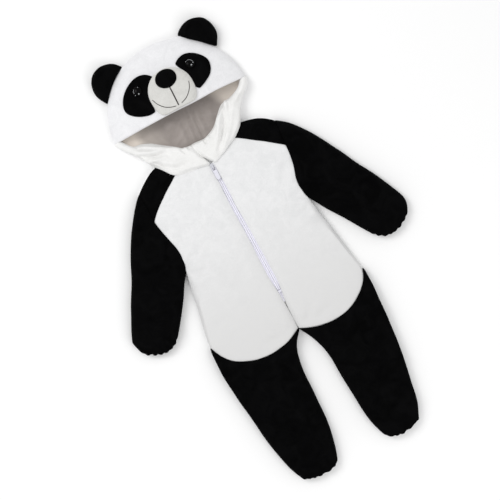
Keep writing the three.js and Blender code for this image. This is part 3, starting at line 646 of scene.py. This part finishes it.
# %% Back, fronts and yokes
FRONT_CREASES = {
    "right": [
        ((-142, -166), (-98, -150), 6, 6, 2.4),
        ((-143, -176), (-96, -186), -5, 7, 2.6),
        ((-148, -205), (-118, -226), -3, 8, 1.6),
        ((-10, -372), (-46, -340), 4, 7, 2.2),
        ((-16, -380), (-74, -374), -4, 7, 1.8),
        ((-9, -30), (-8, -286), 3, 9, 1.4),
        ((-138, -70), (-104, -126), 2, 9, 3.4),
        ((-112, -84), (-92, -128), 6, 14, 1.2),
        ((-150, -300), (-112, -286), -4, 11, 1.2),
        ((-30, -8), (-66, -26), 3, 7, 1.4),
        ((-60, -150), (-20, -160), 6, 18, 0.9),
    ],
    "left": [
        ((143, -150), (100, -138), -5, 6, 2.4),
        ((145, -162), (104, -176), 6, 7, 2.6),
        ((151, -196), (120, -214), 3, 9, 1.8),
        ((18, -372), (52, -338), -4, 7, 2.2),
        ((26, -378), (86, -370), 4, 8, 1.6),
        ((20, -34), (21, -280), -3, 9, 1.4),
        ((140, -62), (112, -112), -3, 9, 2.8),
        ((112, -60), (96, -118), -7, 15, 1.2),
        ((158, -282), (118, -262), 5, 12, 1.4),
        ((32, -4), (70, -14), -3, 7, 1.4),
        ((70, -190), (24, -200), -6, 18, 0.9),
    ],
}

SIDES = {"left": 1, "right": -1}
ZIP_MOUTH = [(3, 0), (4, -30), (5, -64)]
CENTRE_SEAM = [(5.5, -296), (5, -360), (4, -440)]
# How far down from the mark the painted shade on the body starts, and where it is full.
BODY_SHADE_FROM, BODY_SHADE_TO = 40, 400  # down from the mark


def shade_body_downward(x, y):
    """Painted shade: the body is painted a tone darker from the chest down to the crotch."""
    return eased(-y, BODY_SHADE_FROM, BODY_SHADE_TO)


back = reshape(soft_copy("back", 2), swell(0.7), loft(0.8, 60, 1))
set_shading_paint(back, shade_body_downward)
finished(back, "white_plush", replaces=["back"])
fronts = {}
for seed, side in enumerate(("left", "right"), start=2):
    front = soft_copy(f"front_{side}", 3)
    reshape(front, swell(0.9), loft(1.8, 55, seed), loft(0.5, 16, seed + 20),
            creases(FRONT_CREASES[side]))
    part_lips(front, SIDES[side], ZIP_MOUTH, reach=14, openings=(-3.6, 0.0))
    part_lips(front, SIDES[side], CENTRE_SEAM, reach=9, openings=(0.4, 2.4))
    press(front, CENTRE_SEAM, width=4.5, share=0.7, base=9.0)
    set_shading_paint(front, shade_body_downward)
    fronts[side] = finished(front, "white_plush", replaces=[f"front_{side}"])
    yoke = reshape(soft_copy(f"yoke_{side}", 3), swell(0.9), loft(1.2, 40, seed + 4))
    finished(yoke, "black_plush", replaces=[f"yoke_{side}"])

# %% [markdown]
# ## Sleeves and legs
# Each sleeve and leg is one piece folded round into a flattened tube, open at its end. A
# narrow elastic gathers the opening, so short pleats run in from it and the end looks plump.

# %% Sleeves and legs
LIMB_CREASES = {
    "sleeve_right": [
        ((-148, -150), (-186, -128), -5, 7, 2.6),
        ((-156, -186), (-204, -160), 6, 8, 2.4),
        ((-200, -246), (-238, -224), -4, 7, 2.2),
        ((-262, -176), (-232, -196), 3, 7, 1.8),
        ((-176, -30), (-170, -100), 7, 12, 2.0),
    ],
    "sleeve_left": [
        ((148, -136), (188, -112), 5, 7, 2.6),
        ((162, -176), (212, -148), -6, 8, 2.4),
        ((206, -244), (246, -220), 4, 7, 2.2),
        ((266, -150), (236, -174), -3, 7, 1.8),
        ((184, -16), (174, -84), -7, 12, 2.0),
    ],
    "leg_right": [
        ((-14, -404), (-64, -414), 5, 8, 2.8),
        ((-24, -424), (-84, -452), -6, 9, 2.4),
        ((-168, -392), (-124, -404), -4, 9, 2.0),
        ((-30, -520), (-72, -532), 4, 8, 1.8),
        ((-158, -548), (-112, -538), 4, 8, 2.0),
        ((-44, -604), (-78, -598), -3, 7, 1.8),
    ],
    "leg_left": [
        ((22, -402), (70, -410), -5, 8, 2.8),
        ((32, -424), (92, -448), 6, 9, 2.4),
        ((172, -388), (128, -402), 4, 9, 2.0),
        ((40, -516), (84, -526), -4, 8, 1.8),
        ((162, -540), (118, -530), -4, 8, 2.0),
        ((50, -600), (84, -594), 3, 7, 1.8),
    ],
}
OUTER_EDGES = {
    "sleeve_right": {"middle": (-216, -80), "reach": 90, "move": (-5.0, 0)},
    "sleeve_left": {"middle": (313, -256), "reach": 42, "move": (4.0, -1)},
}
GATHERED_ENDS = {
    "sleeve_right": ((-218, -280), (-298, -278)),
    "sleeve_left": ((304, -278), (224, -280)),
    "leg_right": ((-50, -652), (-128, -654)),
    "leg_left": ((134, -654), (56, -652)),
}

for seed, name in enumerate(LIMB_CREASES, start=10):
    limb = soft_copy(name, 2)
    if name in OUTER_EDGES:
        nudge(limb, **OUTER_EDGES[name])
    start, end = GATHERED_ENDS[name]
    reshape(limb, swell(0.9), loft(2.2, 50, seed), creases(LIMB_CREASES[name]),
            gathers(start, end, 7, 26, 2.2, seed))
    finished(limb, "black_plush", replaces=[name])

# %% [markdown]
# ## The hood
# The hood's back lies on the table, and its face panel is a shallow dome over it, down to a
# straight brim. The lining shows in the mouth between the brim and the two collar flaps.

# %% Hood, lining and collar
HOOD_CORNER = {"middle": (127, 101), "reach": 34, "move": (3.0, -0.5)}
EAR_SEAT = {"middle": (66, 252), "reach": 26, "move": (1.0, 4.0)}

hood_back = reshape(soft_copy("hood_back", 2), swell(0.7), loft(0.8, 50, 30))
nudge(hood_back, **HOOD_CORNER)
nudge(hood_back, **EAR_SEAT)
finished(hood_back, "hood_plush", replaces=["hood_back"])
hood_face = soft_copy("hood_face", 3)
reshape(hood_face, swell(0.8), loft(1.4, 60, 31), creases([
    ((-128, 128), (-70, 132), 5, 7, 1.0),
    ((124, 126), (72, 130), -5, 7, 1.0),
    ((144, 139), (84, 143), -3, 7, 2.2),
    ((-146, 136), (-96, 142), 3, 8, 1.4),
    ((-40, 136), (-38, 124), 0, 4, 1.6),
    ((49, 140), (46, 124), 0, 4, 1.6),
]))
nudge(hood_face, **EAR_SEAT)
finished(hood_face, "hood_plush", replaces=["hood_face"])

LINING_CREASES = [
    ((6, 122), (0, 50), 2, 3.2, 1.6),
    ((12, 136), (8, 46), 1, 3, -3.0),
    ((19, 118), (13, 54), -2, 3.2, 0.9),
    ((27, 132), (24, 50), -2, 5, -2.4),
    ((-9, 104), (-13, 50), 1, 4, 1.4),
    ((-20, 110), (-24, 48), 2, 6, -1.6),
    ((38, 116), (32, 56), 2, 6, 0.8),
    ((64, 112), (56, 66), -2, 5, 1.2),
    ((-44, 118), (-42, 62), 3, 9, 1.2),
    ((-66, 114), (-58, 70), -3, 6, 1.0),
    ((-104, 118), (-80, 88), 3, 6, 1.4),
]


MOUTH_SHADING_PAINT = {
    # where: (millimetres out where it starts, and where it is full, share of the pale tone); painted
    # light, and painted shade where the share is negative
    "right corner": (88, 118, 0.85),
    "right side": (40, 96, 0.3),
    "left corner": (66, 92, 0.8),
    "low left": (15, 60, -0.12),
}


def shading_paint_in_mouth(x, y):
    """How far the lining is painted towards its pale tone: painted light where light falls in at the
    mouth's corners and along its right side, and a little painted shade low on the wearer's left.
    """
    outs = (-x, -x, x + 0.5 * (y - 100), x)
    low = eased(-y, -96, -60)
    shares = (1, 1, 1, low)
    rows = zip(MOUTH_SHADING_PAINT.values(), outs, shares)
    return np.clip(sum(eased(out, a, b) * tone * part for (a, b, tone), out, part in rows), 0, 1)


lining = reshape(soft_copy("hood_lining", 2), swell(0.9), creases(LINING_CREASES))
nudge(lining, **HOOD_CORNER)
set_shading_paint(lining, shading_paint_in_mouth)
finished(lining, "grey_lining", replaces=["hood_lining"])

COLLAR_CREASES = {
    "right": [
        ((-126, 80), (-64, 58), -5, 4.4, 6.6),
        ((-112, 60), (-56, 18), -3, 5.0, 4.6),
        ((-122, 92), (-84, 74), 4, 5, 2.0),
        ((-92, 34), (-36, 22), -8, 5, 2.6),
        ((-70, 56), (-22, 38), -5, 6, 2.0),
        ((-84, 20), (-60, 8), -3, 5, 1.6),
        ((-56, 32), (-26, 14), -4, 8, -1.8),
        ((-40, 50), (-31, 37), 1, 2.6, 2.6),
        ((-24, 50), (-20, 41), -1, 2.4, 2.0),
    ],
    "left": [
        ((82, 106), (25, 13), 9, 4.4, 7.6),
        ((94, 94), (28, 10), 6, 4.0, 4.0),
        ((60, 56), (30, 22), 3, 4.0, 1.6),
        ((98, 88), (66, 50), -6, 5, 2.6),
        ((38, 46), (18, 20), 4, 4, 2.2),
        ((12, 46), (15, 34), 0, 2.6, 2.8),
        ((26, 52), (27, 42), 0, 2.4, 2.2),
        ((120, 98), (98, 76), 3, 5, 2.2),
    ],
}
CROSSING = [(-14, 40), (-11, 28), (-7, 16), (-2, 4), (0, 0)]
CROSSING_TIP = {"middle": (1, 2), "reach": 26, "move": (5.5, -1)}
for seed, side in enumerate(("left", "right"), start=33):
    collar = soft_copy(f"collar_{side}", 4)
    part_lips(collar, SIDES[side], CROSSING, reach=10, openings=(1.0, 5.2))
    reshape(collar, swell(1.7), plump(1.6), loft(2.2, 24, seed), creases(COLLAR_CREASES[side]))
    nudge(collar, **CROSSING_TIP)
    nudge(collar, **HOOD_CORNER)
    finished(collar, "collar_plush", replaces=[f"collar_{side}"])

# %% [markdown]
# ## The face
# Ears, muzzle and nose are stuffed; the eye patches are flat appliqué under the muzzle's
# edge. They are soft copies too, so each follows the dome that the frame gives the hood. An
# ear is sewn in a little over the hood's edge. The left ear's root is pulled straight between
# its two ends. The right ear's root follows the hood's curve.

# %% Ears
EAR_ROOTS = {"right": ((-124, 200), (-66, 254)), "left": ((124, 202), (62, 257))}
EAR_BOW = 5.5  # how far the hood's edge bows out between an ear's ends
ROOT_REACH = 12.0  # how far into the ear the pull of the root seam is felt
EAR_SHAPES = {
    # side: (share of the bow that the seam pulls straight, rise of the root at foot and head,
    # narrowing of the root, more of it per millimetre up, lean towards the head per millimetre)
    "right": (0.15, (1.2, 1.2), 0.045, 0.0, 0.0),
    "left": (1.0, (4.0, 7.0), -0.02, 0.0036, -0.05),
}
TIP_GROWTH = 0.05  # how much further out a point moves, for each millimetre over the root
FACE_MIDDLE = (0.0, 140.0)  # ears grow away from here


def set_ear(piece, foot, head, straight, lifts, narrowing, taper, lean):
    """Slides an ear's points in plan, from its root line between foot and head."""
    foot, head = np.array(foot, float), np.array(head, float)
    along = (head - foot) / np.linalg.norm(head - foot)
    square = np.array([-along[1], along[0]])
    if square @ (np.array(FACE_MIDDLE) - foot) > 0:
        square = -square
    span = np.linalg.norm(head - foot)
    for vertex in piece.data.vertices:
        from_foot = np.array(place_of(vertex)[:2]) - foot
        share = np.clip(from_foot @ along / span, 0, 1)
        height = from_foot @ square
        rise = EAR_BOW * 4 * share * (1 - share)
        near_root = np.clip(1 - (height - rise) / ROOT_REACH, 0, 1)
        lift = lifts[0] + (lifts[1] - lifts[0]) * share
        above = max(height, 0)
        outward = (lift - rise * straight) * near_root + above * TIP_GROWTH
        sideways = above * lean - (share - 0.5) * span * (narrowing + taper * above)
        vertex.co += Vector((*((square * outward + along * sideways) * MM), 0))
    piece.data.update()


for seed, side in enumerate(("left", "right"), start=40):
    ear = soft_copy(f"ear_{side}", 3)
    set_ear(ear, *EAR_ROOTS[side], *EAR_SHAPES[side])
    reshape(ear, swell(2.2), loft(1.6, 26, seed))
    finished(ear, "black_plush", replaces=[f"ear_{side}"])

# %% Patches, muzzle and nose
patches = {}
for seed, side in enumerate(("left", "right"), start=40):
    patch = reshape(soft_copy(f"eye_patch_{side}", 2), swell(0.9), loft(0.4, 20, seed))
    patches[side] = finished(patch, "black_plush", replaces=[f"eye_patch_{side}"])
muzzle = reshape(soft_copy("muzzle", 3), swell(0.9), loft(0.8, 30, 44))
finished(muzzle, "muzzle_plush", replaces=["muzzle"])
nose = reshape(soft_copy("nose", 2), swell(0.6), loft(0.5, 16, 45))
finished(nose, "nose_plush", replaces=["nose"])

# %% [markdown]
# ## Mouth
# The mouth is embroidered in satin stitch: a bold line down from the nose, and two thin
# arcs for the smile. Each path runs over the muzzle and on over the hood beside it.

# %% Embroidered mouth
face_cloth = surface_of(muzzle, hood_face)
SMILE = {
    "mouth_line": {"lines": [[(1, 168), (1, 150), (0.5, 127.5)]], "width": 3.0},
    "mouth_smile": {
        "lines": [
            [(-41, 160), (-36, 148), (-27, 137), (-16, 130.5), (-5, 127.5)],
            [(8, 128), (19, 132), (28, 139), (36, 149), (40, 160)],
        ],
        "width": 1.7,
    },
}
for name, stitch in SMILE.items():
    lines = [smooth_line(line, 1.5) for line in stitch["lines"]]
    stitched(name, lines, face_cloth, "mouth_thread", lift=0.15, slot="black_plush",
             Spacing=0.62 * MM, Length=stitch["width"] * MM, Thickness=0.85 * MM,
             Turn=math.radians(90))

# %% [markdown]
# ## Eyes
# Each eye is a black button with a low, round dome. A few arcs and dots of pale enamel on it
# stand for the light in an eye. The dome is turned from a profile, and leans with the face
# under it.

# %% Domed eyes with enamel glints
EYE_RADIUS = 10.0
EYE_RISE = 6.5
EYE_RIM = 1.2
EYE_SET = 1.0  # how deep its flat back sits in the cloth
EYE_CHAMFER = (0.5, 0.6)  # in and up, between the back and the rim
EYE_STEPS = 48
DOME_STEPS = 10
BEAD_FLATNESS = 0.45  # a bead's height, as a share of its width


def dome(name, middle, outward):
    """A turned button: a rim, then a quarter ellipse up to its top."""
    inset, up = EYE_CHAMFER
    profile = [(0.0, -EYE_SET), (EYE_RADIUS - inset, -EYE_SET), (EYE_RADIUS, up - EYE_SET),
               (EYE_RADIUS, EYE_RIM)]
    for i in range(1, DOME_STEPS + 1):
        angle = math.pi / 2 * i / DOME_STEPS
        rise = (EYE_RISE - EYE_RIM) * math.sin(angle)
        profile.append((EYE_RADIUS * math.cos(angle), EYE_RIM + rise))
    profile[-1] = (0.0, EYE_RISE)
    shell = bmesh.new()
    rows = [shell.verts.new(Vector((x, 0, z)) * MM) for x, z in profile]
    edges = [shell.edges.new(pair) for pair in zip(rows, rows[1:])]
    bmesh.ops.spin(
        shell, geom=rows + edges, cent=(0, 0, 0), axis=(0, 0, 1),
        angle=math.tau, steps=EYE_STEPS, use_merge=True)
    bmesh.ops.remove_doubles(shell, verts=shell.verts, dist=0.01 * MM)
    bmesh.ops.recalc_face_normals(shell, faces=shell.faces)
    lean = outward.to_track_quat("Z", "Y").to_matrix().to_4x4()
    shell.transform(Matrix.Translation(middle) @ lean)
    piece = from_shell(shell, name)
    smooth(piece)
    return piece


def bead_line(name, lines, surface, finish_name):
    """Round beads of enamel along lines on a surface, joined into one mesh."""
    drops = bmesh.new()
    for points, radius in lines:
        for x, y in points:
            place, normal = on_top(surface, x, y)
            lean = normal.to_track_quat("Z", "Y").to_matrix().to_4x4()
            shape = Matrix.Translation(place) @ lean @ Matrix.Diagonal((1, 1, BEAD_FLATNESS, 1))
            bmesh.ops.create_icosphere(drops, subdivisions=2, radius=radius * MM, matrix=shape)
    piece = from_shell(drops, name)
    smooth(piece)
    return finished(piece, finish_name)


EYE_MIDDLES = {"right": (-60, 190.5), "left": (59, 191)}
GLINTS = {
    # side: (plan points from the eye's middle, bead radius)
    "right": [
        ([(-7.5, -1.5), (-7.0, 2.5), (-4.5, 6.0)], 0.4),
        ([(4.5, 6.2)], 0.7),
        ([(-6.6, -6.0)], 0.9),
        ([(0.6, -7.0), (1.0, -6.2)], 1.25),
    ],
    "left": [
        ([(-6.5, 6.3), (-6.0, 6.6)], 0.9),
        ([(-3.4, 8.0), (0.5, 7.4), (4.0, 5.2), (6.2, 1.0)], 0.35),
        ([(5.9, -1.4)], 1.0),
        ([(0.4, -4.5), (1.4, -4.3)], 1.25),
    ],
}
for side, (x, y) in EYE_MIDDLES.items():
    middle, outward = on_top(surface_of(patches[side]), x, y)
    eye = dome(f"eye_{side}_dome", middle, outward)
    finished(eye, "eye_plastic", replaces=[f"eye_{side}"])
    lines = []
    for points, radius in GLINTS[side]:
        spots = [(x + dx, y + dy) for dx, dy in points]
        lines.append((smooth_line(spots, 0.5) if len(spots) > 1 else spots, radius))
    bead_line(f"eye_{side}_glint", lines, surface_of(eye), "eye_glint")

# %% [markdown]
# ## The zip
# A nylon zip is two woven tapes, each with a coil of nylon sewn along its edge. The coils'
# turns mesh, so what shows is a close row of short bars, half from each side. The stitch
# tree lays them: two rows of threads turned across the line, half a step apart. The tapes
# run on under the fronts' edges, where a line of stitching holds them.

# %% Tapes and coil
ZIP_TOP = np.array((3.0, 0.0))
ZIP_END = np.array((6.0, -300.0))
ZIP_ALONG = (ZIP_END - ZIP_TOP) / np.linalg.norm(ZIP_END - ZIP_TOP)
ZIP_ACROSS = np.array((-ZIP_ALONG[1], ZIP_ALONG[0]))  # towards the wearer's left
TAPE_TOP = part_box("zip_tape_left")[1][2] / MM
TAPE_WALL = 1.2
TAPE_WIDTH = 10.0
TAPE_START, TAPE_END = 3.0, 316.0
TAPE_SECTION = ((0.2, 0.0), (3.0, 0.1), (4.4, 1.2), (6.2, 2.4), (0.2 + TAPE_WIDTH, 2.0))  # out, up
TAPE_ROWS = 59
TAPE_RIPPLE = 0.12  # how high it waves at its outer edge
RIPPLE_RATE = 0.21  # radians for each millimetre along it


def on_zip(along, across):
    """A place in plan, from the zip's top down along it and out across it."""
    return ZIP_TOP + ZIP_ALONG * along + ZIP_ACROSS * across


def zip_tape(side, sign):
    """A flat strip, from the zip's middle out to under the front's edge."""
    shell = bmesh.new()
    rows = []
    for along in np.linspace(TAPE_START, TAPE_END, TAPE_ROWS):
        ripple = TAPE_RIPPLE * math.sin(along * RIPPLE_RATE + sign)
        row = []
        for across, rise in TAPE_SECTION:
            x, y = on_zip(along, sign * across)
            z = TAPE_TOP + rise + ripple * across / TAPE_WIDTH
            row.append(shell.verts.new(at(x, y, z)))
        rows.append(row)
    for above, below in zip(rows, rows[1:]):
        for k in range(len(above) - 1):
            shell.faces.new((above[k], above[k + 1], below[k + 1], below[k]))
    bmesh.ops.recalc_face_normals(shell, faces=shell.faces)
    if sum(face.normal.z for face in shell.faces) < 0:
        bmesh.ops.reverse_faces(shell, faces=shell.faces)
    draft = from_shell(shell, f"zip_tape_{side}_draft")
    wall = draft.modifiers.new("wall", "SOLIDIFY")
    wall.thickness = TAPE_WALL * MM
    wall.offset = -1.0
    tape = plain_mesh(draft, f"zip_tape_{side}_cloth")
    finished(tape, "zip_tape", replaces=[f"zip_tape_{side}"])
    return tape


tapes = [zip_tape("left", 1), zip_tape("right", -1)]

TURN_STEP = 1.3
COIL_HALF = 1.8  # from the zip's middle to the middle of a turn
COIL_END = 289.0
coil_rows = []
for sign, first in ((1, COIL_START), (-1, COIL_START + TURN_STEP / 2)):
    turns = np.arange(first, COIL_END, TURN_STEP)
    coil_rows.append([on_zip(along, sign * COIL_HALF) for along in turns])
stitched("zip_coil_turns", coil_rows, surface_of(*tapes), "zip_plastic", lift=1.1,
         replaces=["zip_coil"], Spacing=TURN_STEP * MM, Length=4.2 * MM, Thickness=1.6 * MM,
         Turn=math.radians(84), Wobble=0.0)

# %% [markdown]
# ## Slider, pull and stop
# These are small hard castings. The frame has their true shapes, so copies of them only get
# their flat faces merged and a fine bevel, which is what catches the light on a casting.
# The pull rides on its own body, because it swings over the slider.

# %% Hard pieces of the zip
FLAT = math.radians(4)  # faces that meet at less than this are one flat face
SHARP = math.radians(35)  # and edges turned by more than this get the bevel


def cast_copy(node, radius):
    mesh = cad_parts[node].data.copy()
    draft = added(node + "_draft", mesh)
    shell = bmesh.new()
    shell.from_mesh(mesh)
    bmesh.ops.remove_doubles(shell, verts=shell.verts, dist=0.01 * MM)
    bmesh.ops.dissolve_limit(shell, angle_limit=FLAT, verts=shell.verts, edges=shell.edges)
    shell.to_mesh(mesh)
    shell.free()
    bevel = draft.modifiers.new("bevel", "BEVEL")
    bevel.width = radius * MM
    bevel.segments = 3
    bevel.limit_method = "ANGLE"
    bevel.angle_limit = SHARP
    piece = plain_mesh(draft, node + "_cast")
    smooth(piece)
    return piece


finished(cast_copy("zip_slider", 0.22), "slider_metal", replaces=["zip_slider"])
finished(cast_copy("zip_stop", 0.5), "pull_enamel", replaces=["zip_stop"])
finished(cast_copy("zip_pull", 0.3), "pull_enamel", body="pull", replaces=["zip_pull"])

# %% Stitching beside the zip
EDGE_STITCH = 9.5  # from the zip's middle to the stitching
STITCH_RUN = np.arange(10.0, 298.0, 3.0)  # the places that its line goes through
zip_seams = [[on_zip(along, sign * EDGE_STITCH) for along in STITCH_RUN] for sign in (-1, 1)]
stitched("zip_topstitch", zip_seams, surface_of(*fronts.values()), "white_thread", lift=0.0,
         slot="white_plush", Spacing=3.4 * MM, Length=2.7 * MM, Thickness=0.55 * MM)

# %% [markdown]
# ## Floor, light and camera
# The garment lies on a pale, plain surface under a broad soft light. The camera looks
# straight down and is turned, so that the garment lies slantwise in the picture.

# %% Studio
VIEW_MIDDLE = at(-8.6, -192.2)
VIEW_WIDTH = 1.0
LENS = 85.0
SENSOR = 36.0
CAMERA_TURN = math.radians(-27.8)
VIEW_HEIGHT = 0.02  # where over the table the view is that wide
FLOOR_HALF = 6.0
ROOM_LIGHT = 0.75

scene = bpy.context.scene
scene.view_settings.view_transform = "Standard"

floor_mesh = bpy.data.meshes.new("floor")
corners = [(x * FLOOR_HALF, y * FLOOR_HALF, 0) for x, y in ((-1, -1), (1, -1), (1, 1), (-1, 1))]
floor_mesh.from_pydata(corners, [], [(0, 1, 2, 3)])
floor = added("floor", floor_mesh)
floor_paint = bpy.data.materials.new("floor_paint")
floor_paint.use_nodes = True
paint = floor_paint.node_tree.nodes["Principled BSDF"].inputs
paint["Base Color"].default_value = (0.93, 0.93, 0.93, 1)
paint["Roughness"].default_value = 0.9
floor_mesh.materials.append(floor_paint)

world = bpy.data.worlds.new("soft_room")
world.use_nodes = True
sky = world.node_tree.nodes["Background"].inputs
sky["Color"].default_value = (1.0, 1.0, 1.0, 1)
sky["Strength"].default_value = ROOM_LIGHT
scene.world = world


def soft_light(name, place, size, power):
    lamp = bpy.data.lights.new(name, "AREA")
    lamp.shape = "SQUARE"
    lamp.size = size
    lamp.energy = power
    light = added(name, lamp)
    light.location = place
    light.rotation_euler = (VIEW_MIDDLE - Vector(place)).to_track_quat("-Z", "Y").to_euler()


soft_light("key", place=(-1.1, 1.5, 1.9), size=1.2, power=24)
soft_light("fill", place=(0.7, -1.7, 1.6), size=1.4, power=13)

lens = bpy.data.cameras.new("camera")
lens.lens = LENS
lens.sensor_width = SENSOR
camera = added("camera", lens)
camera.location = (VIEW_MIDDLE.x, VIEW_MIDDLE.y, VIEW_WIDTH * LENS / SENSOR + VIEW_HEIGHT)
camera.rotation_euler = (0, 0, CAMERA_TURN)
scene.camera = camera
